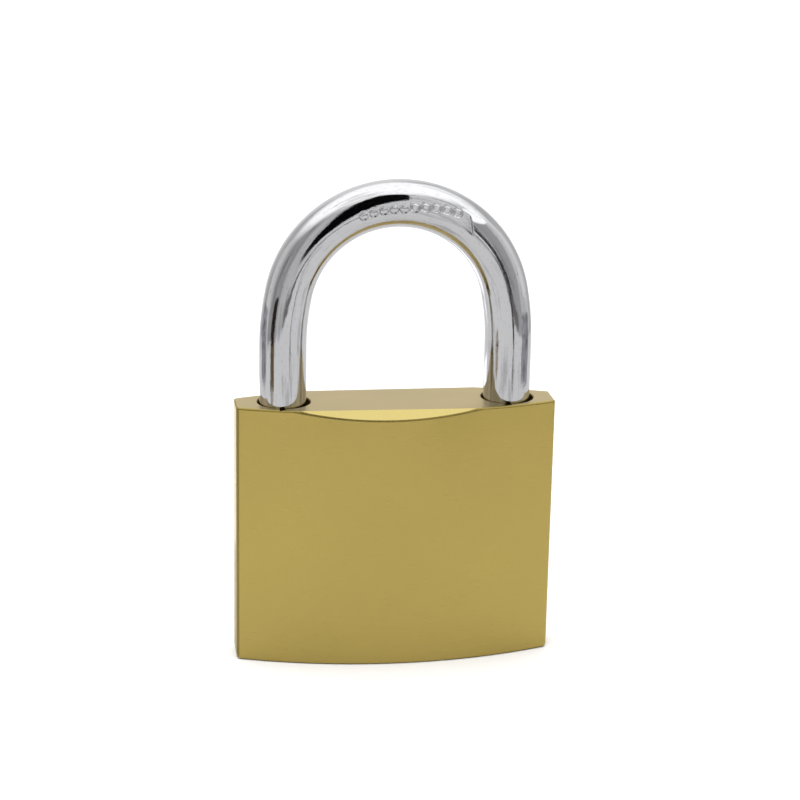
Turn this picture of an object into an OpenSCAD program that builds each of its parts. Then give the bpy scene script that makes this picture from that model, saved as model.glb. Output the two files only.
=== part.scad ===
// Solid brass padlock with a sprung steel shackle, a five-pin cylinder and two sprung latches.
// Millimetres, +Z up. The lock stands on its bottom face, centred on the Z axis, front towards -Y.
// Drawn unlocked with the shackle pushed home: the heel leg is at -X and the toe leg at +X.

/* [Body] */
// Width across the two narrow sides
body_w = 50; // [49.5:0.1:52]
// Height of the brass block
body_h = 41.5; // [41:0.1:44]
// Thickness of the two narrow sides
side_t = 5.4; // [5.2:0.1:6.5]
// How far the front and the back bulge past the narrow sides
bulge = 4.5; // [4.2:0.1:5.5]
// Angle of the bevels milled along the top of the front and the back, from level
bevel_angle = 42.3; // [35:0.1:50]
// Distance of each bevel's upper edge from the middle plane
bevel_y = 5.7; // [5.5:0.1:6.2]
// Turn of the front bevel about the vertical, which moves its crescent off centre
bevel_skew = -1.4; // [-2:0.1:2]

/* [Shackle] */
// Diameter of the round bar
bar_d = 7.3; // [7:0.1:7.4]
// Distance of each leg's axis from the middle
leg_x = 17.6; // [17.6:0.1:17.7]
// Radius of the bow's crown, on the bar's axis
crown_r = 17.1; // [17:0.1:17.1]
// Height of the crown's centre above the body
crown_h = 14; // [12:0.5:30]
// Radius of the shoulders that join the crown to the legs
shoulder_r = 40; // [36:1:42]
// Sweep of each shoulder, which is also how far the legs splay below the crown
shoulder_sweep = 10; // [9.8:0.1:10.5]
// Diameter of the two shackle holes
hole_d = 8.25; // [8.1:0.05:8.3]
// How far the unlocked shackle lifts
lift = 14.5; // [14:0.1:15]

/* [Latches] */
// Height of the cross bore that the latches slide in
latch_z = 33.5; // [33.3:0.1:34]
// Diameter of the two latch rods
latch_d = 4; // [3.8:0.1:4]
// How far each latch moves from drawn in to locked
latch_travel = 2.2; // [2:0.1:2.3]

/* [Cylinder] */
// Diameter of the plug
plug_d = 10; // [9.8:0.1:10]
// Spacing of the pin chambers along the plug
pin_pitch = 3.8; // [3.7:0.1:3.9]
// Diameter of the pin chambers
chamber_d = 2.9; // [2.8:0.1:3]

/* [Hidden] */
$fn = 96;
pins = 5;
running = 0.05;
seat = 0.02;

// Body: the front and the back are arcs of one large radius.
half_w = body_w / 2;
half_t = side_t / 2 + bulge;
face_r = (pow(half_w, 2) + pow(bulge, 2)) / (2 * bulge);

// Shackle holes. The unlocked shackle hangs to one side of its play, so the holes' centres lie
// off the legs' axes. A narrow nick runs from each mouth towards the front.
hole_r = hole_d / 2;
play_x = 0.2;
play_y = 0.25;
heel_floor = 5.5;
toe_floor = 27.3;
nick_w = 0.9;
nick_h = 2;
nick_shift = 0.6;
nick_lip = 0.3;
nick_y = sqrt(pow(face_r, 2) - pow(leg_x, 2)) - (face_r - half_t) - nick_lip;

// Bow: on each side a leg, a shoulder arc, a short straight run and half of the crown's arc.
// The run takes up the width that the two arcs leave over.
bar_r = bar_d / 2;
crown_z = body_h + crown_h;
shoulder_in = shoulder_r * (1 - cos(shoulder_sweep));
run = (leg_x - shoulder_in - crown_r * cos(shoulder_sweep)) / sin(shoulder_sweep);
run_sunk = 0.3;
hair = 0.005;
run_top_x = crown_r * cos(shoulder_sweep);
run_top_z = crown_z + crown_r * sin(shoulder_sweep);
shoulder_z = run_top_z - run * cos(shoulder_sweep) - shoulder_r * sin(shoulder_sweep);

// Legs: a latch notch in each, and the heel's slot and neck that the stop pin rides in.
toe_end = toe_floor + 0.7;
stop_pin_r = 0.8;
stop_pin_z = 30;
neck_h = 2 * stop_pin_r + 0.4;
neck_r = bar_r - 1.6;
heel_end = stop_pin_z - lift - neck_h / 2 - 1.3;
notch_h = latch_d + 0.9;
notch_gap = 0.25;
leg_chamfer = 0.7;

// Latches: the tips end just inside the holes when they are drawn in.
latch_r = latch_d / 2;
cross_bore_r = latch_r + 0.06;
tip_x = leg_x - hole_r - 0.18;
latch_shoulder_x = 6;
tail_x = 3.6;
tail_split = 0.15;
pocket_r = 0.8;
pocket_y = 1.05;
pocket_depth = 2.6;

// Cam: two drive pins swing a quarter turn about the middle and carry the latches with them.
drive_pin_r = 0.6;
drive_x = latch_travel / 2;
drive_gap = 0.1;
drive_top = latch_z + 0.4;
stem_r = 2.4;
stem_top = latch_z - latch_r - 0.3;
well_r = drive_x * sqrt(2) + drive_pin_r + 0.4;
well_top = latch_z + 2.2;
cam_r = 4.6;
cam_t = 2.2;

// Plug: runs up to the cam, and is held by a pin that crosses its groove.
plug_r = plug_d / 2;
plug_bore_r = plug_r + running;
plug_bottom = 0.3;
plug_top = 24.4;
cam_z = plug_top + 0.3;
plug_bore_top = cam_z + cam_t + 0.3;
tongue = [6, 1.6, 1.3];
groove_z = 2.6;
groove_r = plug_r - 0.95;
retaining_r = 0.8;
first_pin_z = 6.2;

// Keyway: three slots in a row from the front, stepped to and fro, form its wards.
keyway_w = 1.3;
keyway_step = 0.5;
keyway_part = 2.5;
keyway_from = -plug_r - 0.1;
keyway_top = plug_top - 1.6;

// Pins: each key pin's length is the base length plus its cut in steps.
chamber_r = chamber_d / 2;
pin_r = chamber_r - 0.07;
chamber_floor = 1.2;
cuts = [1, 3, 2, 4, 1];
cut_step = 0.35;
key_pin_base = 1.8;
key_pin_y = sqrt(pow(plug_r, 2) - pow(pin_r, 2)) - running;
driver_len = 3.4;
driver_x = plug_r + 0.1;
spring_x = driver_x + driver_len;
chamber_plug_x = 14;

function chamber_z(i) = first_pin_z + (i - 1) * pin_pitch;
function key_pin_len(i) = key_pin_base + cuts[i - 1] * cut_step;

// Height of a spring's wire after t turns: closed end turns and an even pitch between them.
function spring_rise(t, turns, length, wire_r) = lookup(t, [
    [0, wire_r],
    [1, 3.2 * wire_r],
    [turns - 1, length - 3.2 * wire_r],
    [turns, length - wire_r]
]);

// A cylinder along +X that starts at x.
module rod_x(x, length, r) {
    translate([x, 0, 0]) rotate([0, 90, 0]) cylinder(h = length, r = r);
}

// A cylinder along +Y that starts at y.
module rod_y(y, length, r) {
    translate([0, y, 0]) rotate([-90, 0, 0]) cylinder(h = length, r = r);
}

// A round wire coiled about +Z from z = 0 to z = length.
module coil_spring(length, coil_r, wire_r, turns, steps) {
    rings = turns * steps;
    sides = 6;
    points = [
        for (i = [0 : rings])
            for (j = [0 : sides - 1])
                let (
                    a = 360 * i / steps,
                    b = 360 * j / sides,
                    r = coil_r + wire_r * cos(b),
                    z = spring_rise(i / steps, turns, length, wire_r) + wire_r * sin(b)
                )
                [r * cos(a), r * sin(a), z]
    ];
    skin = [
        for (i = [0 : rings - 1])
            for (j = [0 : sides - 1])
                let (
                    k = (j + 1) % sides,
                    p = i * sides,
                    q = p + sides
                )
                each [[p + j, p + k, q + k], [p + j, q + k, q + j]]
    ];
    start = [for (j = [sides - 1 : -1 : 0]) j];
    end = [for (j = [0 : sides - 1]) rings * sides + j];
    polyhedron(points, concat([start, end], skin));
}

// The block before it is drilled: two big arcs, two flat sides and a bevel front and back.
module body_blank() {
    difference() {
        intersection() {
            translate([-half_w, -half_t, 0]) cube([body_w, 2 * half_t, body_h]);
            translate([0, face_r - half_t, 0]) cylinder(h = body_h, r = face_r);
            translate([0, half_t - face_r, 0]) cylinder(h = body_h, r = face_r);
        }
        rotate([0, 0, bevel_skew]) bevel_cut();
        rotate([0, 0, 180]) bevel_cut();
    }
}

// What the bevel mill takes off the front's top edge.
module bevel_cut() {
    translate([0, -bevel_y, body_h])
        rotate([bevel_angle, 0, 0])
            translate([-body_w, -body_w, 0])
                cube([2 * body_w, body_w, body_w]);
}

// The hole for the leg at x, with a nick in its front wall that stops just short of the face.
module shackle_hole(x, floor_z) {
    hole_x = x + play_x;
    translate([hole_x, play_y, floor_z]) cylinder(h = body_h, r = hole_r);
    translate([hole_x - nick_shift - nick_w / 2, -nick_y, body_h - nick_h])
        cube([nick_w, nick_y, body_h]);
}

module lock_body() {
    color("goldenrod")
    difference() {
        body_blank();
        shackle_hole(-leg_x, heel_floor);
        shackle_hole(leg_x, toe_floor);
        translate([0, 0, -1]) cylinder(h = plug_bore_top + 1, r = plug_bore_r);
        cylinder(h = well_top, r = well_r);
        translate([0, 0, latch_z]) rod_x(-leg_x, body_w, cross_bore_r);
        for (i = [1 : pins])
            translate([0, 0, chamber_z(i)]) rod_x(0, body_w, chamber_r);
        translate([-plug_r, 0, groove_z]) rod_y(-half_t / 2, body_w, retaining_r + seat);
        translate([-leg_x, 0, stop_pin_z]) rod_y(0, body_w, stop_pin_r + seat);
    }
}

// A leg from end_z up to the shoulder, with a chamfered end.
module leg(x, end_z) {
    translate([x, 0, end_z]) cylinder(h = leg_chamfer, r1 = bar_r - leg_chamfer, r2 = bar_r);
    translate([x, 0, end_z + leg_chamfer])
        cylinder(h = shoulder_z - end_z - leg_chamfer, r = bar_r);
}

// An arc of the bar in the XZ plane about the point (x, z), from one angle through a sweep.
module bar_arc(x, z, r, from, sweep) {
    translate([x, 0, z])
        rotate([90, 0, 0])
            rotate([0, 0, from])
                rotate_extrude(angle = sweep)
                    translate([r, 0]) circle(r = bar_r);
}

// The shoulder and the short run above the +X leg. The run is a hair thinner than the arcs and is
// sunk into both, so that no two curved faces lie on each other.
module shoulder() {
    bar_arc(leg_x - shoulder_r, shoulder_z, shoulder_r, 0, shoulder_sweep);
    translate([run_top_x, 0, run_top_z])
        rotate([0, -shoulder_sweep, 0])
            translate([0, 0, -run - run_sunk]) cylinder(h = run + 2 * run_sunk, r = bar_r - hair);
}

// The notch on the +X leg's inner side that a latch tip enters.
module latch_notch() {
    notch_wall = tip_x + latch_travel + notch_gap;
    translate([notch_wall - bar_d, -bar_r, latch_z - notch_h / 2])
        cube([bar_d, bar_d, notch_h]);
}

// The ring-shaped neck near the heel's end, and the slot up its back.
module heel_track() {
    neck_z = stop_pin_z - lift;
    slot_w = neck_h;
    translate([0, 0, neck_z - neck_h / 2])
        difference() {
            cylinder(h = neck_h, r = bar_d);
            cylinder(h = neck_h, r = neck_r);
        }
    translate([-slot_w / 2, neck_r, neck_z]) cube([slot_w, bar_d, lift]);
    translate([0, 0, stop_pin_z]) rod_y(neck_r, bar_d, slot_w / 2);
}

module shackle() {
    color("silver")
    difference() {
        union() {
            bar_arc(0, crown_z, crown_r, shoulder_sweep, 180 - 2 * shoulder_sweep);
            shoulder();
            mirror([1, 0, 0]) shoulder();
            leg(leg_x, toe_end);
            leg(-leg_x, heel_end);
        }
        latch_notch();
        mirror([1, 0, 0]) latch_notch();
        translate([-leg_x, 0, 0]) heel_track();
    }
}

module shackle_stop_pin() {
    color("dimgray")
    intersection() {
        translate([-leg_x, 0, stop_pin_z]) rod_y(neck_r + 0.15, body_w, stop_pin_r);
        body_blank();
    }
}

module shackle_spring() {
    color("gray")
    translate([-leg_x, 0, heel_floor])
        coil_spring(heel_end - heel_floor, 3.3, 0.4, 6, 14);
}

// Three offset slots, side by side, the first of them open to the plug's front side.
module keyway() {
    for (i = [0 : 2]) {
        side = i % 2 == 0 ? -1 : 1;
        translate([(side * keyway_step - keyway_w) / 2, keyway_from + i * keyway_part, -1])
            cube([keyway_w, keyway_part + 0.2, keyway_top + 1]);
    }
}

module cylinder_plug() {
    color("gold")
    difference() {
        union() {
            translate([0, 0, plug_bottom]) cylinder(h = plug_top - plug_bottom, r = plug_r);
            translate([-tongue.x / 2, -tongue.y / 2, plug_top - 1])
                cube([tongue.x, tongue.y, tongue.z + 1]);
        }
        keyway();
        for (i = [1 : pins])
            translate([0, 0, chamber_z(i)]) rod_y(chamber_floor, plug_d, chamber_r);
        translate([0, 0, groove_z - retaining_r - 0.15])
            difference() {
                cylinder(h = 2 * retaining_r + 0.3, r = plug_d);
                cylinder(h = 2 * retaining_r + 0.3, r = groove_r);
            }
    }
}

module plug_retaining_pin() {
    color("dimgray")
    intersection() {
        translate([-plug_r, 0, groove_z]) rod_y(-half_t / 2, body_w, retaining_r);
        body_blank();
    }
}

// The disc that the plug's tongue turns, with its stem up into the well.
module cam_disc() {
    color("darkgoldenrod")
    difference() {
        union() {
            translate([0, 0, cam_z]) cylinder(h = cam_t, r = cam_r);
            translate([0, 0, cam_z]) cylinder(h = stem_top - cam_z, r = stem_r);
        }
        translate([-tongue.x / 2 - 0.1, -tongue.y / 2 - 0.05, 0])
            cube([tongue.x + 0.2, tongue.y + 0.1, plug_top + tongue.z + 0.1]);
        for (s = [-1, 1])
            translate([s * drive_x, -s * drive_x, stem_top - 2.5])
                cylinder(h = 5, r = drive_pin_r + seat);
    }
}

// The drive pin on the side given by s, pressed into the stem.
module drive_pin(s) {
    color("dimgray")
    translate([s * drive_x, -s * drive_x, stem_top - 2.5])
        cylinder(h = drive_top - stem_top + 2.5, r = drive_pin_r);
}

module drive_pin_toe() {
    drive_pin(-1);
}

module drive_pin_heel() {
    drive_pin(1);
}

// A latch rod that points to +X: bevelled tip, spring pocket, and a half-round tail whose slot
// lets its drive pin pull it in but leaves it free to be pushed in.
module latch() {
    slot_from = -drive_x - drive_pin_r - drive_gap;
    slot_w = 2 * (drive_pin_r + drive_gap) + latch_travel;
    translate([0, 0, latch_z])
        difference() {
            rod_x(-tail_x, tip_x + tail_x, latch_r);
            translate([-tail_x - 1, tail_split - latch_d, -latch_d])
                cube([latch_shoulder_x + tail_x + 1, latch_d, 2 * latch_d]);
            translate([slot_from, -latch_d, drive_top + 0.2 - latch_z - latch_d])
                cube([slot_w, 2 * latch_d, latch_d]);
            translate([0, -pocket_y, 0]) rod_x(0, latch_shoulder_x + pocket_depth, pocket_r);
            translate([tip_x, 0, -0.3])
                rotate([0, 45, 0])
                    translate([-latch_d, -latch_d, 0])
                        cube(2 * latch_d);
        }
}

// The small spring between one latch's pocket and the end of the other latch's tail.
module latch_spring() {
    color("gray")
    translate([tail_x, -pocket_y, latch_z])
        rotate([0, 90, 0])
            coil_spring(latch_shoulder_x + pocket_depth - tail_x, 0.55, 0.12, 7, 9);
}

module toe_latch() {
    color("steelblue") latch();
}

module heel_latch() {
    color("steelblue") rotate([0, 0, 180]) latch();
}

module toe_latch_spring() {
    latch_spring();
}

module heel_latch_spring() {
    rotate([0, 0, 180]) latch_spring();
}

// The slug that closes the outer end of the cross bore.
module cross_bore_plug() {
    color("gold")
    translate([0, 0, latch_z])
        rod_x(leg_x + hole_r + 0.3, half_w - leg_x - hole_r - 0.3, cross_bore_r - seat);
}

// A key pin with its tip towards the keyway and its flat end just inside the plug's surface.
module key_pin(i) {
    tip = 0.8;
    body = key_pin_len(i) - tip;
    color("orange")
    translate([0, key_pin_y, chamber_z(i)])
        rotate([90, 0, 0]) {
            cylinder(h = body, r = pin_r);
            translate([0, 0, body]) cylinder(h = tip, r1 = pin_r, r2 = pin_r - tip);
        }
}

module driver_pin(i) {
    color("peru")
    translate([0, 0, chamber_z(i)]) rod_x(driver_x, driver_len, pin_r);
}

module pin_spring(i) {
    color("gray")
    translate([spring_x, 0, chamber_z(i)])
        rotate([0, 90, 0])
            coil_spring(chamber_plug_x - spring_x, 1.12, 0.16, 7, 11);
}

module chamber_plug(i) {
    color("gold")
    translate([0, 0, chamber_z(i)])
        rod_x(chamber_plug_x, half_w - chamber_plug_x, chamber_r - seat);
}

lock_body();
shackle();
shackle_stop_pin();
shackle_spring();
cylinder_plug();
plug_retaining_pin();
cam_disc();
drive_pin_toe();
drive_pin_heel();
toe_latch();
heel_latch();
toe_latch_spring();
heel_latch_spring();
cross_bore_plug();
key_pin(1);  // key_pin_1
key_pin(2);  // key_pin_2
key_pin(3);  // key_pin_3
key_pin(4);  // key_pin_4
key_pin(5);  // key_pin_5
driver_pin(1);  // driver_pin_1
driver_pin(2);  // driver_pin_2
driver_pin(3);  // driver_pin_3
driver_pin(4);  // driver_pin_4
driver_pin(5);  // driver_pin_5
pin_spring(1);  // pin_spring_1
pin_spring(2);  // pin_spring_2
pin_spring(3);  // pin_spring_3
pin_spring(4);  // pin_spring_4
pin_spring(5);  // pin_spring_5
chamber_plug(1);  // chamber_plug_1
chamber_plug(2);  // chamber_plug_2
chamber_plug(3);  // chamber_plug_3
chamber_plug(4);  // chamber_plug_4
chamber_plug(5);  // chamber_plug_5
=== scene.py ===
"""A solid brass padlock with a polished steel shackle, standing on a pale studio floor."""

import math

import bmesh
import bpy
from mathutils import Matrix, Vector


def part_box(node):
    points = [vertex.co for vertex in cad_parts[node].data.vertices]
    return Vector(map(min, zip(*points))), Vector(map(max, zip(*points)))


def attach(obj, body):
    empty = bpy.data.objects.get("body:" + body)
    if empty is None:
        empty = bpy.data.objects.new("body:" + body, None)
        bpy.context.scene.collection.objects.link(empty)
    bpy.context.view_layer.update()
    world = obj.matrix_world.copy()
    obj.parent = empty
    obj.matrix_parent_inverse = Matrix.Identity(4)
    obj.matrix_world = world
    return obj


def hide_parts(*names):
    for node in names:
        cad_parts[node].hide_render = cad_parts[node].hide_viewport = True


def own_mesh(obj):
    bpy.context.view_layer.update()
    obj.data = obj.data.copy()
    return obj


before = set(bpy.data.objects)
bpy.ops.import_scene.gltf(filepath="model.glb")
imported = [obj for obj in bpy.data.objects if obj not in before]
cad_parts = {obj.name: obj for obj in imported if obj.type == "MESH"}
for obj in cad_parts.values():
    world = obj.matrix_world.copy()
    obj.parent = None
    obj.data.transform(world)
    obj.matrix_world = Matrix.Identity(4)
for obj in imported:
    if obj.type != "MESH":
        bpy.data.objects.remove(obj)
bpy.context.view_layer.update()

MM = 0.001

# The lock's own sizes in millimetres, the same as the CAD model's.
BODY_W, BODY_H, SIDE_T, BULGE = 50.0, 41.5, 5.4, 4.5
HALF_W, HALF_T = BODY_W / 2, SIDE_T / 2 + BULGE
FACE_R = (HALF_W**2 + BULGE**2) / (2 * BULGE)
BEVEL_ANGLE, BEVEL_Y, BEVEL_SKEW = 42.3, 5.7, -1.4
BAR_R, LEG_X = 3.65, 17.6
CROWN_R, CROWN_Z = 17.1, BODY_H + 14.0
SHOULDER_R, SHOULDER_SWEEP = 40.0, math.radians(10.0)
HOLE_R, HEEL_FLOOR, TOE_FLOOR = 4.125, 5.5, 27.3
PLAY = Vector((0.2, 0.25, 0))
NICK_W, NICK_H, NICK_SHIFT, NICK_LIP = 0.9, 2.0, 0.6, 0.3
TOE_END, LEG_CHAMFER = TOE_FLOOR + 0.7, 0.7
LATCH_Z, LATCH_R = 33.5, 2.0
CROSS_BORE_R = LATCH_R + 0.06
NOTCH_H, NOTCH_WALL = 4.9, 15.745
STOP_PIN_R, STOP_PIN_Z, LIFT, NECK_H, NECK_R = 0.8, 30.0, 14.5, 2.0, 2.05
HEEL_END = STOP_PIN_Z - LIFT - NECK_H / 2 - 1.3
PLUG_R, PLUG_BOTTOM, PLUG_TOP = 5.0, 0.3, 24.4
PLUG_BORE_R, PLUG_BORE_TOP = 5.05, 27.2
WELL_R, WELL_TOP = 2.556, 35.7
TONGUE = (6.0, 1.6, 1.3)
GROOVE_Z, GROOVE_R, RETAINING_R = 2.6, 4.05, 0.8
CHAMBER_R, CHAMBER_FLOOR, CHAMBER_PLUG_X = 1.45, 1.2, 14.0
CHAMBER_Z = [6.2 + 3.8 * i for i in range(5)]
KEYWAY_W, KEYWAY_STEP, KEYWAY_PART, KEYWAY_FROM, KEYWAY_TOP = 1.3, 0.5, 2.5, -5.1, 22.8
CROSS_PLUG_X = LEG_X + HOLE_R + 0.3
COIL_R, WIRE_R, COIL_TURNS, PIN_TRAVEL = 1.12, 0.16, 7, 2.0
END_TURN = 3.2 * WIRE_R
SEAT = 0.02

# How the finished edges are broken, in millimetres.
CORNER_ROUND, RIM_ROUND, CRESCENT_ROUND, FOOT_ROUND, HEEL_ROUND = 0.45, 0.35, 0.18, 0.35, 0.7
MOUTH_CHAMFER, PLUG_CHAMFER, SLUG_CHAMFER, PIN_CHAMFER = 0.12, 0.2, 0.06, 0.05

# How far the dressed slugs and pin ends lie below the surface, in millimetres.
SLUG_SUNK, PIN_SUNK = 0.01, 0.03

# Places closer than NEAR are the same place, and cutters run on by OVER, in millimetres.
NEAR, OVER = 0.01, 1.0

# Edges that turn by more than this are shaded as edges, on the pieces made here and on the CAD's.
SHARP, CAD_SHARP = math.radians(30), math.radians(35)

X_AXIS = Matrix.Rotation(math.radians(90), 4, "Y")
Y_AXIS = Matrix.Rotation(math.radians(-90), 4, "X")


# ---------------------------------------------------------------- mesh helpers


def skin(bm, rings, closed=False):
    """Joins rings of vertices, each to the next, and caps the ends or joins them to each other."""
    following = rings[1:] + rings[:1] if closed else rings[1:]
    sides = []
    for low, high in zip(rings, following):
        for i in range(len(low)):
            j = (i + 1) % len(low)
            sides.append(bm.faces.new((low[i], low[j], high[j], high[i])))
    if not closed:
        bm.faces.new(rings[0][::-1])
        bm.faces.new(rings[-1])
    return sides


def placed(bm, place):
    """The bmesh moved into place, with its normals outwards."""
    bm.transform(place)
    bmesh.ops.recalc_face_normals(bm, faces=bm.faces)
    return bm


def turned(profile, place=Matrix.Identity(4), segments=64, closed=False):
    """A solid of revolution about +Z from (radius, height) pairs; a closed profile makes a collar."""
    bm = bmesh.new()
    step = 2 * math.pi / segments
    rings = []
    for r, z in profile:
        rings.append([
            bm.verts.new((r * math.cos(i * step), r * math.sin(i * step), z))
            for i in range(segments)
        ])
    skin(bm, rings, closed)
    return placed(bm, place)


def block(low, high):
    """A box between two corners."""
    bm = bmesh.new()
    size = Vector(high) - Vector(low)
    centre = (Vector(high) + Vector(low)) / 2
    bmesh.ops.create_cube(bm, size=1, matrix=Matrix.Translation(centre) @ Matrix.Diagonal((*size, 1)))
    bmesh.ops.recalc_face_normals(bm, faces=bm.faces)
    return bm


def rod(length, r, start, axis, chamfer=0.0):
    """A round rod from start along an axis, its ends sharp or broken by a chamfer."""
    profile = [(r - chamfer, 0), (r, chamfer), (r, length - chamfer), (r - chamfer, length)]
    if chamfer == 0:
        profile = [(r, 0), (r, length)]
    return turned(profile, Matrix.Translation(Vector(start)) @ axis)


def coil(length, place):
    """A pin spring along +Z, with closed end turns and an even pitch between them."""
    per_turn, sides = 20, 8
    pitch = (length - 2 * END_TURN) / (COIL_TURNS - 2)
    bm = bmesh.new()
    rings = []
    for k in range(COIL_TURNS * per_turn + 1):
        t = k / per_turn
        height = END_TURN + pitch * (min(max(t, 1), COIL_TURNS - 1) - 1)
        height += (END_TURN - WIRE_R) * (min(t, 1) - 1 + max(t - COIL_TURNS + 1, 0))
        outward = Vector((math.cos(2 * math.pi * t), math.sin(2 * math.pi * t), 0))
        centre = outward * COIL_R + Vector((0, 0, height))
        ring = []
        for i in range(sides):
            a = 2 * math.pi * i / sides
            side = outward * math.cos(a) + Vector((0, 0, math.sin(a)))
            ring.append(bm.verts.new(centre + side * WIRE_R))
        rings.append(ring)
    skin(bm, rings)
    return placed(bm, place)


def add_object(bm, name):
    """A new object in the scene, with the bmesh as its mesh."""
    mesh = bpy.data.meshes.new(name)
    bm.to_mesh(mesh)
    bm.free()
    obj = bpy.data.objects.new(name, mesh)
    bpy.context.scene.collection.objects.link(obj)
    return obj


def to_object(bm, name):
    """An object in metres from a bmesh in millimetres."""
    bm.transform(Matrix.Scale(MM, 4))
    return add_object(bm, name)


def bake_modifiers(obj):
    """Applies an object's modifiers to its mesh."""
    graph = bpy.context.evaluated_depsgraph_get()
    mesh = bpy.data.meshes.new_from_object(obj.evaluated_get(graph))
    obj.modifiers.clear()
    old = obj.data
    obj.data = mesh
    bpy.data.meshes.remove(old)
    mesh.name = obj.name


def combine(obj, operation, shapes):
    """Takes shapes, bmeshes in millimetres, out of the object or joins them to it."""
    tools = [to_object(bm, f"tool_{i}") for i, bm in enumerate(shapes)]
    for tool in tools:
        made = obj.modifiers.new("combine", "BOOLEAN")
        made.operation = operation
        made.solver = "EXACT"
        made.object = tool
    bake_modifiers(obj)
    for tool in tools:
        mesh = tool.data
        bpy.data.objects.remove(tool)
        bpy.data.meshes.remove(mesh)


def finish_piece(obj, body, nodes, materials):
    """Shades a piece, gives it its materials and ties it to the frame."""
    for material in materials:
        obj.data.materials.append(material)
    obj.data.shade_smooth()
    obj.data.set_sharp_from_angle(angle=SHARP)
    even = obj.modifiers.new("even_normals", "WEIGHTED_NORMAL")
    even.keep_sharp = True
    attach(obj, body)
    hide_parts(*nodes)
    return obj


# ---------------------------------------------------------------- materials


def fill_ramp(ramp, stops):
    """Sets a colour ramp from (position, colour or grey) stops."""
    while len(ramp.elements) < len(stops):
        ramp.elements.new(0.5)
    for element, (at, colour) in zip(ramp.elements, stops):
        if isinstance(colour, (int, float)):
            colour = (colour,) * 3
        element.position = at
        element.color = (*colour, 1)


class Nodes:
    """A small writer for shader trees."""

    def __init__(self, name):
        self.material = bpy.data.materials.new(name)
        self.material.use_nodes = True
        self.tree = self.material.node_tree
        self.shader = self.tree.nodes["Principled BSDF"]
        coords = self.add("ShaderNodeTexCoord")
        self.place = coords.outputs["Object"]

    def add(self, kind, **settings):
        """A new node with its settings."""
        made = self.tree.nodes.new(kind)
        for key, value in settings.items():
            setattr(made, key, value)
        return made

    def link(self, output, target):
        """Joins an output to an input."""
        self.tree.links.new(output, target)

    def noise(self, per_mm, detail=3.0, rough=0.55, source=None):
        """Noise with so many features per millimetre along X, Y and Z."""
        mapping = self.add("ShaderNodeMapping")
        mapping.inputs["Scale"].default_value = [v / MM for v in per_mm]
        self.link(source or self.place, mapping.inputs["Vector"])
        tex = self.add("ShaderNodeTexNoise")
        tex.inputs["Scale"].default_value = 1.0
        tex.inputs["Detail"].default_value = detail
        tex.inputs["Roughness"].default_value = rough
        self.link(mapping.outputs["Vector"], tex.inputs["Vector"])
        return tex.outputs["Fac"]

    def ramp(self, value, stops):
        """A colour ramp from (position, colour or grey) stops."""
        made = self.add("ShaderNodeValToRGB")
        fill_ramp(made.color_ramp, stops)
        self.link(value, made.inputs["Fac"])
        return made.outputs["Color"]

    def multiply(self, a, b, share=1.0):
        """Colour a darkened by a share of b."""
        made = self.add("ShaderNodeMix", data_type="RGBA", blend_type="MULTIPLY")
        made.inputs["Factor"].default_value = share
        self.link(a, made.inputs["A"])
        self.link(b, made.inputs["B"])
        return made.outputs["Result"]

    def bump(self, heights):
        """Chains bump nodes from (height, depth in mm) pairs into the shader's normal."""
        normal = None
        for height, depth in heights:
            made = self.add("ShaderNodeBump")
            made.inputs["Distance"].default_value = depth * MM
            made.inputs["Strength"].default_value = 1.0
            self.link(height, made.inputs["Height"])
            if normal is not None:
                self.link(normal, made.inputs["Normal"])
            normal = made.outputs["Normal"]
        self.link(normal, self.shader.inputs["Normal"])


def metal(name, colour, spread, roughness, grain, grain_depth):
    """A metal whose colour varies by a share, with a grain that its roughness follows.

    The grain is given in features per millimetre along X, Y and Z, and its depth in millimetres.
    """
    n = Nodes(name)
    n.shader.inputs["Metallic"].default_value = 1.0
    cloud = n.noise((0.06, 0.06, 0.06), detail=4)
    lines = n.noise(grain, detail=3, rough=0.6)
    darker = tuple(c * (1 - spread) for c in colour)
    lighter = tuple(min(1, c * (1 + spread)) for c in colour)
    base = n.ramp(cloud, [(0.3, darker), (0.7, lighter)])
    fine = n.ramp(lines, [(0.3, 1 - spread * 1.5), (0.7, 1.0)])
    n.link(n.multiply(base, fine), n.shader.inputs["Base Color"])
    low, high = roughness
    n.link(n.ramp(lines, [(0.25, low), (0.75, high)]), n.shader.inputs["Roughness"])
    n.bump([(cloud, 0.004), (lines, grain_depth)])
    return n.material


brass_satin = metal("brass_satin", (0.54, 0.412, 0.121), 0.022, (0.26, 0.36), (0.25, 0.25, 9.0), 0.0004)
brass_milled = metal("brass_milled", (0.50, 0.395, 0.18), 0.06, (0.30, 0.42), (0.12, 6.0, 6.0), 0.0012)
brass_bevel = metal("brass_bevel", (0.50, 0.41, 0.155), 0.03, (0.2, 0.3), (6.0, 0.4, 0.4), 0.0004)
# A darker brass for the broken edges: painted shade and dark reflections along the rims, crescents and
# left upright corner.
brass_edge_shade = metal("brass_edge_shade", (0.35, 0.27, 0.08), 0.12, (0.35, 0.5), (3.0, 3.0, 1.2), 0.002)
# A darker brass for the faces inside the holes and bores: painted shade in the recesses.
brass_bore_shade = metal("brass_bore_shade", (0.30, 0.21, 0.07), 0.08, (0.35, 0.5), (2.0, 2.0, 8.0), 0.002)
brass_turned = metal("brass_turned", (0.54, 0.42, 0.14), 0.05, (0.22, 0.36), (5.0, 5.0, 5.0), 0.001)
steel_pin = metal("steel_pin", (0.42, 0.41, 0.40), 0.06, (0.25, 0.4), (6.0, 1.0, 6.0), 0.001)
steel_spring = metal("steel_spring", (0.36, 0.36, 0.37), 0.08, (0.2, 0.35), (3.0, 3.0, 3.0), 0.001)
steel_latch = metal("steel_latch", (0.45, 0.45, 0.46), 0.05, (0.2, 0.34), (0.8, 7.0, 7.0), 0.001)


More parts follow.
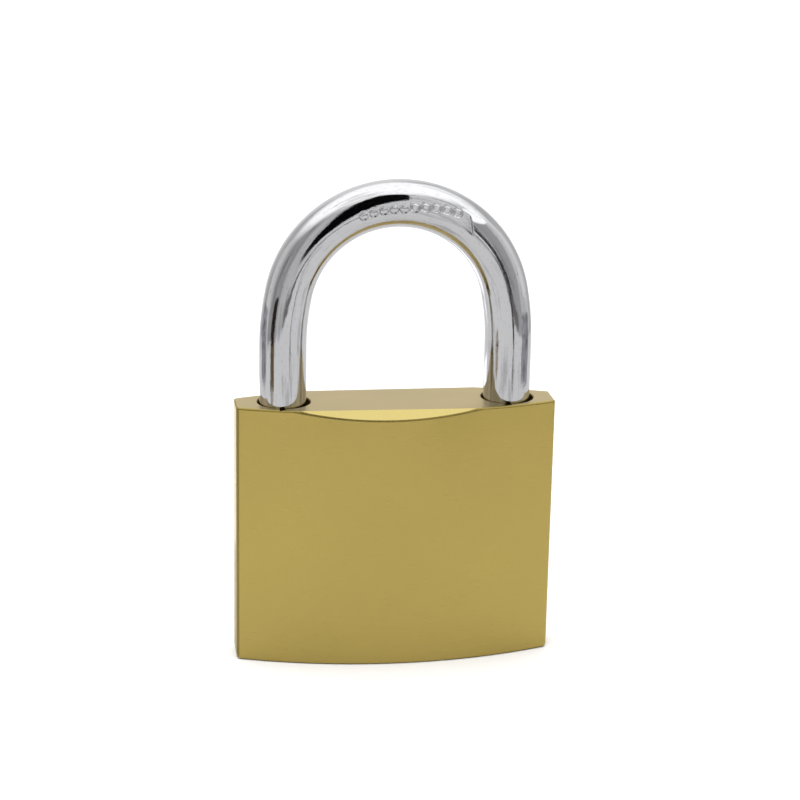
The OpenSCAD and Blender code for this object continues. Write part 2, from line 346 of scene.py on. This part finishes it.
def chrome_material():
    """Bright plating over a drawn bar: faint streaks along the bar, a mottle, and tiny pits."""
    n = Nodes("chrome")
    n.shader.inputs["Metallic"].default_value = 1.0
    bar = n.add("ShaderNodeUVMap", uv_map="bar").outputs["UV"]
    cloud = n.noise((0.12, 0.12, 0.12), detail=4)
    streak = n.noise((0.09, 1.1, 1.0), detail=5, rough=0.62, source=bar)
    specks = n.noise((1.1, 4.5, 1.0), detail=4, rough=0.7, source=bar)
    base = n.ramp(cloud, [(0.3, (0.565, 0.565, 0.58)), (0.7, (0.60, 0.60, 0.61))])
    lines = n.ramp(streak, [(0.36, 0.55), (0.47, 1.0)])
    spots = n.ramp(specks, [(0.30, 0.3), (0.41, 1.0)])
    n.link(n.multiply(n.multiply(base, lines, 0.6), spots, 0.7), n.shader.inputs["Base Color"])
    n.link(n.ramp(streak, [(0.3, 0.10), (0.6, 0.04)]), n.shader.inputs["Roughness"])
    n.bump([(streak, 0.022), (cloud, 0.02), (specks, 0.0015)])
    return n.material


chrome = chrome_material()


# ---------------------------------------------------------------- the body


def face_y(x):
    """Half the body's thickness at x."""
    return math.sqrt(FACE_R**2 - x**2) - (FACE_R - HALF_T)


def crescent_tips(skew):
    """The two x where a milled flat runs out through the top edge of its face."""
    s = math.radians(skew)
    arc_x, arc_y = (FACE_R - HALF_T) * math.sin(s), (FACE_R - HALF_T) * math.cos(s)
    half = math.sqrt(FACE_R**2 - (arc_y + BEVEL_Y) ** 2)
    return [(arc_x + side * half) * math.cos(s) + BEVEL_Y * math.sin(s) for side in (-1, 1)]


def face_columns(tips):
    """x from side to side in nearly even columns, with a column's edge at each tip."""
    column = 1.3
    stops = [-HALF_W, *tips, HALF_W]
    xs = [-HALF_W]
    for low, high in zip(stops, stops[1:]):
        count = round((high - low) / column)
        xs += [low + (high - low) * i / count for i in range(1, count + 1)]
    return xs


def body_prism():
    """The lens-shaped block before it is milled."""
    front = [(x, -face_y(x)) for x in face_columns(crescent_tips(BEVEL_SKEW))]
    back = [(x, face_y(x)) for x in face_columns(crescent_tips(0))]
    outline = front + back[::-1]
    bm = bmesh.new()
    skin(bm, [[bm.verts.new((x, y, z)) for x, y in outline] for z in (0, BODY_H)])
    return bm


def mill_bevel(bm, turn):
    """Cuts the flat along the top of the face that turn brings to the front."""
    spin = Matrix.Rotation(math.radians(turn), 3, "Z")
    a = math.radians(BEVEL_ANGLE)
    point = spin @ Vector((0, -BEVEL_Y, BODY_H))
    normal = spin @ Vector((0, -math.sin(a), math.cos(a)))
    geom = bm.verts[:] + bm.edges[:] + bm.faces[:]
    cut = bmesh.ops.bisect_plane(bm, geom=geom, plane_co=point, plane_no=normal,
                                 clear_outer=True, dist=1e-5)
    rim = [e for e in cut["geom_cut"] if isinstance(e, bmesh.types.BMEdge)]
    bmesh.ops.edgenet_fill(bm, edges=rim)


def edge_round(edge):
    """The radius that this edge of the milled block is broken to, or 0."""
    facet_turn = math.radians(12)
    if len(edge.link_faces) != 2 or edge.calc_face_angle(0) < facet_turn:
        return 0.0
    a, b = (v.co for v in edge.verts)
    if abs(a.z - b.z) > BODY_H / 2:
        return CORNER_ROUND
    if max(a.z, b.z) < NEAR:
        return HEEL_ROUND if abs(a.x - b.x) < NEAR else FOOT_ROUND
    if min(a.z, b.z) < BODY_H - NEAR:
        return CRESCENT_ROUND
    middle = (a + b) / 2
    on_bevel = abs(middle.y) < face_y(middle.x) - 2 * NEAR and abs(middle.x) < HALF_W - NEAR
    return 0.0 if on_bevel else RIM_ROUND


def body_cutters():
    """Every hole in the block."""
    nick_into_hole = OVER / 2
    cutters = []
    for x, floor in ((-LEG_X, HEEL_FLOOR), (LEG_X, TOE_FLOOR)):
        profile = [(HOLE_R, floor), (HOLE_R, BODY_H - MOUTH_CHAMFER),
                   (HOLE_R + MOUTH_CHAMFER + OVER, BODY_H + OVER)]
        cutters.append(turned(profile, Matrix.Translation(Vector((x, 0, 0)) + PLAY), 96))
        nick_x = x + PLAY.x - NICK_SHIFT
        cutters.append(block((nick_x - NICK_W / 2, NICK_LIP - face_y(LEG_X), BODY_H - NICK_H),
                             (nick_x + NICK_W / 2, nick_into_hole - HOLE_R, BODY_H + OVER)))
    bore = [(PLUG_BORE_R + MOUTH_CHAMFER + OVER, -OVER), (PLUG_BORE_R, MOUTH_CHAMFER),
            (PLUG_BORE_R, PLUG_BORE_TOP), (WELL_R, PLUG_BORE_TOP), (WELL_R, WELL_TOP)]
    cutters.append(turned(bore, segments=96))
    cutters.append(rod(BODY_W, CROSS_BORE_R, (-LEG_X, 0, LATCH_Z), X_AXIS))
    for z in CHAMBER_Z:
        cutters.append(rod(BODY_W, CHAMBER_R, (NEAR, 0, z), X_AXIS))
    cutters.append(rod(BODY_W, RETAINING_R + SEAT, (-PLUG_R, -HALF_T / 2, GROOVE_Z), Y_AXIS))
    cutters.append(rod(BODY_W, STOP_PIN_R + SEAT, (-LEG_X, 0, STOP_PIN_Z), Y_AXIS))
    return cutters


def paint_body(mesh):
    """Material slots: 0 satin faces, 1 milled top and bottom, 2 bevels, 3 broken edges in a darker
    brass as painted shade, 4 bores in a darker brass as painted shade.
    """
    level, upright = 0.999, 0.05
    slope = math.cos(math.radians(BEVEL_ANGLE))
    crust = 0.4
    for face in mesh.polygons:
        n, c = face.normal, face.center / MM
        at_side = abs(c.x) > HALF_W - 2 * CORNER_ROUND
        outside = at_side or abs(c.y) > face_y(min(abs(c.x), HALF_W)) - crust
        at_end = min(c.z, BODY_H - c.z) < 5 * NEAR
        # The left upright corner and the upward-facing roundings take the darker edge brass, a painted
        # shade.
        left_corner_shade = at_side and abs(n.z) < upright and -0.95 < n.x < -0.4
        if abs(n.z) > level and at_end:
            face.material_index = 1
        elif abs(n.z - slope) < 0.02 and abs(c.y) > BEVEL_Y - 0.3:
            face.material_index = 2
        elif left_corner_shade or (outside and upright < n.z < 0.95):
            face.material_index = 3
        elif outside:
            face.material_index = 0
        # Faces inside the holes take the darker bore brass, a painted shade.
        else:
            face.material_index = 4


def make_body():
    """The brass block, milled, with its edges broken and its holes drilled."""
    bm = body_prism()
    mill_bevel(bm, BEVEL_SKEW)
    mill_bevel(bm, 180)
    bmesh.ops.recalc_face_normals(bm, faces=bm.faces)
    weights = bm.edges.layers.float.new("bevel_weight_edge")
    widest = HEEL_ROUND
    for edge in bm.edges:
        edge[weights] = edge_round(edge) / widest
    obj = to_object(bm, "brass_block")
    bevel = obj.modifiers.new("edges", "BEVEL")
    bevel.limit_method = "WEIGHT"
    bevel.width = widest * MM
    bevel.segments = 4
    bevel.miter_outer = "MITER_ARC"
    bake_modifiers(obj)
    combine(obj, "DIFFERENCE", body_cutters())
    paint_body(obj.data)
    finish_piece(obj, "lock_body", ["lock_body"],
                 [brass_satin, brass_milled, brass_bevel, brass_edge_shade, brass_bore_shade])


make_body()


# ---------------------------------------------------------------- the shackle


SHOULDER_IN = SHOULDER_R * (1 - math.cos(SHOULDER_SWEEP))
CROWN_SIDE = CROWN_R * math.cos(SHOULDER_SWEEP)
RUN = (LEG_X - SHOULDER_IN - CROWN_SIDE) / math.sin(SHOULDER_SWEEP)
RUN_TOP_Z = CROWN_Z + CROWN_R * math.sin(SHOULDER_SWEEP)
SHOULDER_Z = RUN_TOP_Z - RUN * math.cos(SHOULDER_SWEEP) - SHOULDER_R * math.sin(SHOULDER_SWEEP)

# The stamp on the crown: a shallow flat struck into the bar, and a row of plain rings along it.
# Places on the bow are a direction, seen from the crown's centre, and an angle around the bar
# from its outer side. The flat's lower end is slanted, and the row climbs towards that end.
PANEL = (math.radians(52.5), math.radians(86))
PANEL_FACING, PANEL_DEPTH, PANEL_FADE = math.radians(79), 0.2, math.radians(0.8)
PANEL_SLANT, SLANT_FROM = 0.2, math.radians(80)
RING_R, RING_GROOVE, RING_DEPTH = 0.6, 0.2, 0.11
RING_COUNT, ROW_START, ROW_SPAN = 10, 110, 48
RINGS = [math.radians(ROW_START - ROW_SPAN * i / (RING_COUNT - 1)) for i in range(RING_COUNT)]
ROW_FACING, ROW_CLIMB, CLIMB_FROM = math.radians(93), 0.85, math.radians(88)

# How closely the bar's surface is divided: along the crown and around the bar in degrees, and
# along the legs in millimetres.
CROWN_STEP, STAMP_STEP, LEG_STEP, SHOULDER_STEPS = 1.0, 0.24, 0.8, 12
AROUND_STEP, AROUND_STAMP_STEP, STAMP_AROUND = 2.5, 0.9, (48, 118)


def ring_facing(direction):
    """The angle around the bar that a ring is struck at."""
    return ROW_FACING - ROW_CLIMB * max(0, CLIMB_FROM - direction)


def crown_directions():
    """Directions round the crown from the +X shoulder to the -X one, close together at the stamp."""
    a, end = SHOULDER_SWEEP, math.pi - SHOULDER_SWEEP
    directions = []
    while a < end - math.radians(CROWN_STEP / 2):
        directions.append(a)
        at_stamp = PANEL[0] - 0.1 < a < RINGS[0] + 0.06
        a += math.radians(STAMP_STEP if at_stamp else CROWN_STEP)
    return directions + [end]


def shoulder_rows():
    """The bar's axis round the +X shoulder: (x, z, direction) rows."""
    turns = [SHOULDER_SWEEP * i / SHOULDER_STEPS for i in range(SHOULDER_STEPS + 1)]
    return [(LEG_X - SHOULDER_R * (1 - math.cos(a)), SHOULDER_Z + SHOULDER_R * math.sin(a), a)
            for a in turns]


def leg_rows(end):
    """The bar's axis and radius up the +X leg, from its chamfered end to the shoulder."""
    start = end + LEG_CHAMFER
    rows = [(LEG_X, end, 0.0, BAR_R - LEG_CHAMFER), (LEG_X, start, 0.0, BAR_R)]
    count = int((SHOULDER_Z - end) / LEG_STEP)
    for i in range(1, count):
        rows.append((LEG_X, start + (SHOULDER_Z - start) * i / count, 0.0, BAR_R))
    return rows


def bar_axis():
    """(x, z, direction, radius) from the toe's end over the crown to the heel's end."""
    right = shoulder_rows()
    crown = [(CROWN_R * math.cos(a), CROWN_Z + CROWN_R * math.sin(a), a) for a in crown_directions()]
    left = [(-x, z, math.pi - a) for x, z, a in reversed(right)]
    bow = [(x, z, a, BAR_R) for x, z, a in right + crown + left]
    heel = [(-x, z, math.pi, r) for x, z, _, r in reversed(leg_rows(HEEL_END))]
    return leg_rows(TOE_END) + bow + heel


def smooth(t):
    """A step from 0 to 1 with soft ends."""
    t = min(1, max(0, t))
    return t * t * (3 - 2 * t)


def stamped(direction, around, r):
    """The bar's radius where the crown is stamped."""
    start = PANEL[0] + PANEL_SLANT * (SLANT_FROM - around)
    inside = smooth((direction - start) / PANEL_FADE + 0.5)
    inside *= smooth((PANEL[1] - direction) / PANEL_FADE + 0.5)
    off = math.cos(around - PANEL_FACING)
    if inside > 0 and off > 0:
        flat = (BAR_R - PANEL_DEPTH) / off
        r += inside * (min(r, flat) - r)
    for ring in RINGS:
        along = (direction - ring) * CROWN_R
        across = (around - ring_facing(ring)) * BAR_R
        off_groove = abs(math.hypot(along, across) - RING_R) / RING_GROOVE
        r -= RING_DEPTH * (1 - smooth(off_groove))
    return r


def bar_angles():
    """Angles around the bar, close together where the stamp is."""
    low, high = STAMP_AROUND
    angles, a = [], 0.0
    while a < 360 - 0.1:
        angles.append(math.radians(a))
        a += AROUND_STAMP_STEP if low <= a < high else AROUND_STEP
    return angles


def shackle_cutters():
    """The two latch notches, and the heel's neck and slot."""
    low, high = LATCH_Z - NOTCH_H / 2, LATCH_Z + NOTCH_H / 2
    neck_z = STOP_PIN_Z - LIFT
    neck = turned([(NECK_R, -NECK_H / 2), (2 * BAR_R, -NECK_H / 2), (2 * BAR_R, NECK_H / 2),
                   (NECK_R, NECK_H / 2)], Matrix.Translation((-LEG_X, 0, neck_z)), closed=True)
    slot = block((-LEG_X - NECK_H / 2, NECK_R, neck_z), (-LEG_X + NECK_H / 2, 2 * BAR_R, STOP_PIN_Z))
    slot_end = rod(BAR_R, NECK_H / 2, (-LEG_X, NECK_R, STOP_PIN_Z), Y_AXIS)
    return [
        block((NOTCH_WALL - 2 * BAR_R, -2 * BAR_R, low), (NOTCH_WALL, 2 * BAR_R, high)),
        block((-NOTCH_WALL, -2 * BAR_R, low), (2 * BAR_R - NOTCH_WALL, 2 * BAR_R, high)),
        neck, slot, slot_end,
    ]


def make_shackle():
    """The bar swept along its axis, with lengths along and around it as its UVs, then cut."""
    bm = bmesh.new()
    uv = bm.loops.layers.uv.new("bar")
    angles = bar_angles()
    rings, lengths = [], []
    run = 0.0
    before = None
    for x, z, direction, radius in bar_axis():
        outward = Vector((math.cos(direction), 0, math.sin(direction)))
        axis = Vector((x, 0, z))
        run += (axis - before).length if before else 0.0
        before = axis
        ring = []
        for around in angles:
            r = stamped(direction, around, radius) if radius == BAR_R else radius
            side = outward * math.cos(around) + Vector((0, -1, 0)) * math.sin(around)
            ring.append(bm.verts.new(axis + side * r))
        rings.append(ring)
        lengths.append(run)
    arcs = [a * BAR_R for a in angles] + [2 * math.pi * BAR_R]
    for index, face in enumerate(skin(bm, rings)):
        k, i = divmod(index, len(angles))
        for loop, (s, a) in zip(face.loops, ((k, i), (k, i + 1), (k + 1, i + 1), (k + 1, i))):
            loop[uv].uv = (lengths[s] * MM, arcs[a] * MM)
    bmesh.ops.recalc_face_normals(bm, faces=bm.faces)
    obj = to_object(bm, "steel_shackle")
    combine(obj, "DIFFERENCE", shackle_cutters())
    finish_piece(obj, "shackle", ["shackle"], [chrome])


make_shackle()


# ---------------------------------------------------------------- the small pieces


def make_plug():
    """The plug with its groove, keyway and chambers, its face lightly chamfered."""
    groove, top_chamfer = RETAINING_R + 0.15, 0.3
    profile = [
        (PLUG_R - PLUG_CHAMFER, PLUG_BOTTOM), (PLUG_R, PLUG_BOTTOM + PLUG_CHAMFER),
        (PLUG_R, GROOVE_Z - groove), (GROOVE_R, GROOVE_Z - groove),
        (GROOVE_R, GROOVE_Z + groove), (PLUG_R, GROOVE_Z + groove),
        (PLUG_R, PLUG_TOP - top_chamfer), (PLUG_R - top_chamfer, PLUG_TOP),
    ]
    obj = to_object(turned(profile, segments=96), "plug")
    width, thickness, height = TONGUE
    tongue = block((-width / 2, -thickness / 2, PLUG_TOP - OVER),
                   (width / 2, thickness / 2, PLUG_TOP + height))
    combine(obj, "UNION", [tongue])
    overlap = 0.2
    cutters = []
    for i in range(3):
        side = -1 if i % 2 == 0 else 1
        x = (side * KEYWAY_STEP - KEYWAY_W) / 2
        y = KEYWAY_FROM + i * KEYWAY_PART
        cutters.append(block((x, y, -OVER), (x + KEYWAY_W, y + KEYWAY_PART + overlap, KEYWAY_TOP)))
    for z in CHAMBER_Z:
        cutters.append(rod(2 * PLUG_R, CHAMBER_R, (0, CHAMBER_FLOOR, z), Y_AXIS))
    combine(obj, "DIFFERENCE", cutters)
    finish_piece(obj, "plug", ["cylinder_plug"], [brass_turned])


def make_slugs():
    """The slugs in the right side and the two pins in the back, dressed flush."""
    slugs = [(f"slug_{i}", f"chamber_plug_{i}", CHAMBER_R, CHAMBER_PLUG_X, z)
             for i, z in enumerate(CHAMBER_Z, 1)]
    slugs.append(("slug_cross_bore", "cross_bore_plug", CROSS_BORE_R, CROSS_PLUG_X, LATCH_Z))
    for name, node, bore_r, start, z in slugs:
        slug = rod(HALF_W - start - SLUG_SUNK, bore_r - SEAT, (start, 0, z), X_AXIS, SLUG_CHAMFER)
        finish_piece(to_object(slug, name), "lock_body", [node], [brass_turned])
    for name, node, r, x, z, start in (
        ("pin_plug", "plug_retaining_pin", RETAINING_R, -PLUG_R, GROOVE_Z, -HALF_T / 2),
        ("pin_stop", "shackle_stop_pin", STOP_PIN_R, -LEG_X, STOP_PIN_Z, NECK_R + 0.15),
    ):
        pin = rod(face_y(x) - PIN_SUNK - start, r, (x, start, z), Y_AXIS, PIN_CHAMFER)
        finish_piece(to_object(pin, name), "lock_body", [node], [steel_pin])


def make_pin_springs():
    """The springs behind the driver pins, each pressed short against its slug as its pin moves."""
    for i, z in enumerate(CHAMBER_Z, 1):
        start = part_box(f"pin_spring_{i}")[0][0] / MM + SEAT
        length = CHAMBER_PLUG_X - start
        bm = coil(length, Matrix.Translation((start, 0, z)) @ X_AXIS)
        obj = finish_piece(to_object(bm, f"spring_{i}"), "lock_body",
                           [f"pin_spring_{i}"], [steel_spring])
        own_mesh(obj)


def dress_inner_nodes():
    """Materials for the CAD pieces that are sealed inside."""
    for name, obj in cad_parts.items():
        if "spring" in name:
            material = steel_spring
        elif "latch" in name:
            material = steel_latch
        elif "drive_pin" in name:
            material = steel_pin
        elif "key_pin" in name or "driver_pin" in name or name == "cam_disc":
            material = brass_turned
        else:
            continue
        obj.data.materials.clear()
        obj.data.materials.append(material)
        obj.data.shade_smooth()
        obj.data.set_sharp_from_angle(angle=CAD_SHARP)


make_plug()
make_slugs()
make_pin_springs()
dress_inner_nodes()


# ---------------------------------------------------------------- studio


def plain(name, colour):
    """A matt material for the floor and for its darker copy in the metal's reflections."""
    material = bpy.data.materials.new(name)
    material.use_nodes = True
    shader = material.node_tree.nodes["Principled BSDF"]
    shader.inputs["Base Color"].default_value = (*colour, 1)
    shader.inputs["Roughness"].default_value = 0.8
    shader.inputs["Specular IOR Level"].default_value = 0.1
    return material


def glow(name, colour, mottle=0.0):
    """A card's own brightness, whatever the light on it, even or with a cloudy mottle."""
    n = Nodes(name)
    n.shader.inputs["Base Color"].default_value = (0, 0, 0, 1)
    n.shader.inputs["Roughness"].default_value = 1.0
    n.shader.inputs["Specular IOR Level"].default_value = 0.0
    n.shader.inputs["Emission Strength"].default_value = 1.0
    cloud = n.noise((0.05, 0.05, 0.25), detail=4, rough=0.6)
    dark = tuple(c * (1 - mottle) for c in colour)
    light = tuple(c * (1 + mottle) for c in colour)
    n.link(n.ramp(cloud, [(0.35, dark), (0.65, light)]), n.shader.inputs["Emission Color"])
    return n.material


def direction_vector(azimuth, elevation):
    """A unit vector: azimuth 0 is the front, positive to the right, elevation is upwards."""
    a, e = math.radians(azimuth), math.radians(elevation)
    return Vector((math.sin(a) * math.cos(e), -math.cos(a) * math.cos(e), math.sin(e)))


def stage_mesh(name, bm, material):
    """A piece of the stage, in metres, that is no part of the lock."""
    obj = add_object(bm, name)
    obj.data.materials.append(material)
    return obj


def reflect_only(obj):
    """Leaves a stage piece visible in the metal, but not to the camera or in the light."""
    obj.visible_camera = False
    obj.visible_diffuse = False
    obj.visible_shadow = False


def camera_only(obj):
    """Leaves a stage piece visible to the camera, but not in the metal or in the light."""
    obj.visible_glossy = False
    obj.visible_diffuse = False
    obj.visible_shadow = False


def hung_card(name, outline, distance, colour):
    """A flat card hung in the directions of its outline, as seen from the bow's centre."""
    centre = Vector((0, 0, CROWN_Z * MM))
    bm = bmesh.new()
    bm.faces.new([bm.verts.new(centre + direction_vector(a, e) * distance) for a, e in outline])
    reflect_only(stage_mesh(name, bm, glow(name, colour)))


def upright(name, span, distance, heights, material, steps):
    """An upright sheet along an arc about the lock, from one azimuth to another."""
    bm = bmesh.new()
    low, high = heights
    columns = []
    for i in range(steps + 1):
        place = direction_vector(span[0] + (span[1] - span[0]) * i / steps, 0) * distance
        columns.append([bm.verts.new((place.x, place.y, z)) for z in (low, high)])
    for a, b in zip(columns, columns[1:]):
        bm.faces.new((a[0], b[0], b[1], a[1]))
    return stage_mesh(name, bm, material)


def standing_card(name, span, distance, heights, colour, mottle=0.0, steps=24):
    """A curved card around the lock, between two azimuths and two heights."""
    reflect_only(upright(name, span, distance, heights, glow(name, colour, mottle), steps))


def disc(name, radius, height, material):
    """A level round sheet."""
    bm = bmesh.new()
    bmesh.ops.create_circle(bm, cap_ends=True, radius=radius, segments=96)
    obj = stage_mesh(name, bm, material)
    obj.location.z = height
    return obj


def make_studio():
    """A pale floor, a darker copy of it that only the metal mirrors as painted shade, and cards that
    shape reflections.

    Outlines are (azimuth, elevation) pairs in degrees; distances and heights are in metres.
    """
    floor = disc("floor", 6.0, -0.00003, plain("pale_floor", (0.86, 0.86, 0.86)))
    floor.visible_glossy = False
    # A darker copy of the floor, seen only in the metal: painted shade on the floor's reflection.
    reflect_only(disc("floor_reflection_shade", 0.24, -0.00001, plain("floor_shade_copy", (0.565, 0.565, 0.565))))
    backdrop = glow("backdrop", (1.0, 1.0, 1.0))
    camera_only(upright("backdrop", (-180, 180), 5.9, (-0.01, 4.0), backdrop, 96))

    camera_card = [
        (17, 50), (12, 53), (4, 55), (-4, 57), (-14, 53), (-21, 45), (-23, 34), (-21, 20), (-19, 8),
        (-16, 0), (-9, -3), (1, -4), (2, 4), (3, 14), (8, 22), (14, 28), (17, 38),
    ]
    hung_card("card_camera", camera_card, 0.45, (0.002, 0.002, 0.002))
    stand_card = [(26, 13), (29.5, 13), (29, 4), (30, -4), (32, -11), (24, -11), (24.5, -2), (25.5, 4)]
    hung_card("card_stand", stand_card, 0.28, (0.03, 0.028, 0.03))
    window_card = [(36, 19), (50, 25), (63, 29), (80, 32), (86, 42), (64, 42), (48, 37), (38, 28)]
    hung_card("card_window", window_card, 0.6, (1.7, 1.7, 1.7))
    standing_card("card_far_edge", (-20, 48), 0.243, (0.0, 0.014), (0.2, 0.19, 0.19), 0.3)
    standing_card("card_dark", (-69, -54), 0.15, (0.018, 0.05), (0.03, 0.02, 0.018), 0.4)
    standing_card("card_brown", (-70, -53), 0.15, (0.006, 0.018), (0.17, 0.125, 0.075), 0.4)
    standing_card("card_tan", (-68, -56), 0.148, (0.0, 0.006), (0.45, 0.39, 0.30), 0.3)
    standing_card("card_left", (-125, -96), 0.15, (0.008, 0.045), (0.35, 0.35, 0.38), 0.6)
    standing_card("card_right", (64, 104), 0.15, (0.007, 0.036), (0.40, 0.40, 0.43), 0.6)
    standing_card("card_rod", (21, 25), 0.16, (0.0, 0.010), (0.33, 0.31, 0.30), 0.4, steps=4)
    standing_card("card_rod_top", (20, 26), 0.16, (0.010, 0.07), (0.06, 0.055, 0.055), 0.4, steps=4)
    standing_card("card_back_left", (-176, -140), 0.06, (0.0, 0.03), (1.7, 1.68, 1.75))


def math_node(tree, operation, *values):
    """A Math node's output. Each value is a number or the output of another node."""
    made = tree.nodes.new("ShaderNodeMath")
    made.operation = operation
    for socket, value in zip(made.inputs, values):
        if isinstance(value, bpy.types.NodeSocket):
            tree.links.new(value, socket)
        else:
            socket.default_value = value
    return made.outputs["Value"]


def grey_ramp(tree, source, low, high, stops):
    """Greys set out along a value that runs from low to high."""
    span = tree.nodes.new("ShaderNodeMapRange")
    span.inputs["From Min"].default_value = low
    span.inputs["From Max"].default_value = high
    tree.links.new(source, span.inputs["Value"])
    made = tree.nodes.new("ShaderNodeValToRGB")
    made.color_ramp.interpolation = "EASE"
    fill_ramp(made.color_ramp, [((at - low) / (high - low), grey) for at, grey in stops])
    tree.links.new(span.outputs["Result"], made.inputs["Fac"])
    return made.outputs["Color"]


def make_world():
    """A studio dome: bright overhead and behind, with darker and lighter walls round the sides."""
    world = bpy.data.worlds.new("studio")
    bpy.context.scene.world = world
    world.use_nodes = True
    tree = world.node_tree
    coords = tree.nodes.new("ShaderNodeTexCoord")
    parts = tree.nodes.new("ShaderNodeSeparateXYZ")
    tree.links.new(coords.outputs["Generated"], parts.inputs["Vector"])
    x, y, z = (parts.outputs[axis] for axis in "XYZ")
    forwards = math_node(tree, "MULTIPLY", y, -1)
    azimuth = math_node(tree, "DEGREES", math_node(tree, "ARCTAN2", x, forwards))
    roof_dip = 0.3
    rise = math_node(tree, "MULTIPLY_ADD", math_node(tree, "MULTIPLY", x, x), roof_dip, z)

    walls = grey_ramp(tree, azimuth, -180, 180, [
        (-180, 0.68), (-158, 0.66), (-142, 0.45), (-130, 0.41), (-106, 0.57), (-94, 0.52),
        (-82, 0.37), (-70, 0.24), (-60, 0.32), (-48, 0.27), (-36, 0.46), (-20, 0.46), (12, 0.62),
        (25, 0.58), (32, 0.30), (62, 0.33), (76, 0.55), (98, 0.67), (110, 0.55), (122, 0.42),
        (133, 0.42), (150, 0.58), (180, 0.68),
    ])
    roof = grey_ramp(tree, rise, 0, 1.2, [(0.0, 0.0), (0.68, 0.0), (0.9, 1.0), (1.2, 1.0)])
    mix = tree.nodes.new("ShaderNodeMix")
    mix.data_type = "RGBA"
    tree.links.new(roof, mix.inputs["Factor"])
    tree.links.new(walls, mix.inputs["A"])
    mix.inputs["B"].default_value = (1.13, 1.13, 1.13, 1)
    tree.links.new(mix.outputs["Result"], tree.nodes["Background"].inputs["Color"])
    tree.nodes["Background"].inputs["Strength"].default_value = 1.5


def area_light(name, place, aim, size, watts):
    """A square lamp aimed at a place, which the metal doesn't mirror."""
    light = bpy.data.lights.new(name, "AREA")
    light.shape = "SQUARE"
    light.size = size
    light.energy = watts
    obj = bpy.data.objects.new(name, light)
    obj.location = place
    obj.rotation_euler = (Vector(place) - Vector(aim)).to_track_quat("Z", "Y").to_euler()
    obj.visible_glossy = False
    bpy.context.scene.collection.objects.link(obj)


# The photograph's view: where the camera looks, in millimetres, from which side, in degrees, and
# from how far, in millimetres. The lens fits an 800 by 800 picture.
CAMERA_AIM = Vector((0.77, 0, 41.34))
CAMERA_AZIMUTH, CAMERA_ELEVATION, CAMERA_ROLL = -8.67, 16.35, 1.13
CAMERA_DISTANCE, CAMERA_LENS, SENSOR = 344.27, 99.28, 36.0


def make_camera():
    """The camera at the photograph's viewing angle, rolled a little as the photograph is."""
    azimuth, roll = math.radians(CAMERA_AZIMUTH), math.radians(CAMERA_ROLL)
    back = direction_vector(CAMERA_AZIMUTH, CAMERA_ELEVATION)
    right = Vector((math.cos(azimuth), math.sin(azimuth), 0))
    up = back.cross(right)
    tilted_right = right * math.cos(roll) + up * math.sin(roll)
    tilted_up = up * math.cos(roll) - right * math.sin(roll)
    data = bpy.data.cameras.new("camera")
    data.lens, data.sensor_width = CAMERA_LENS, SENSOR
    data.clip_start, data.clip_end = 0.01, 20
    obj = bpy.data.objects.new("camera", data)
    turn = Matrix((tilted_right, tilted_up, back)).transposed().to_4x4()
    obj.matrix_world = Matrix.Translation(CAMERA_AIM * MM + back * CAMERA_DISTANCE * MM) @ turn
    bpy.context.scene.collection.objects.link(obj)
    bpy.context.scene.camera = obj


make_studio()
make_world()
area_light("overhead", place=(-0.1, -0.1, 0.9), aim=(0, 0, 0.04), size=0.7, watts=4.0)
make_camera()
bpy.context.scene.view_settings.view_transform = "Standard"
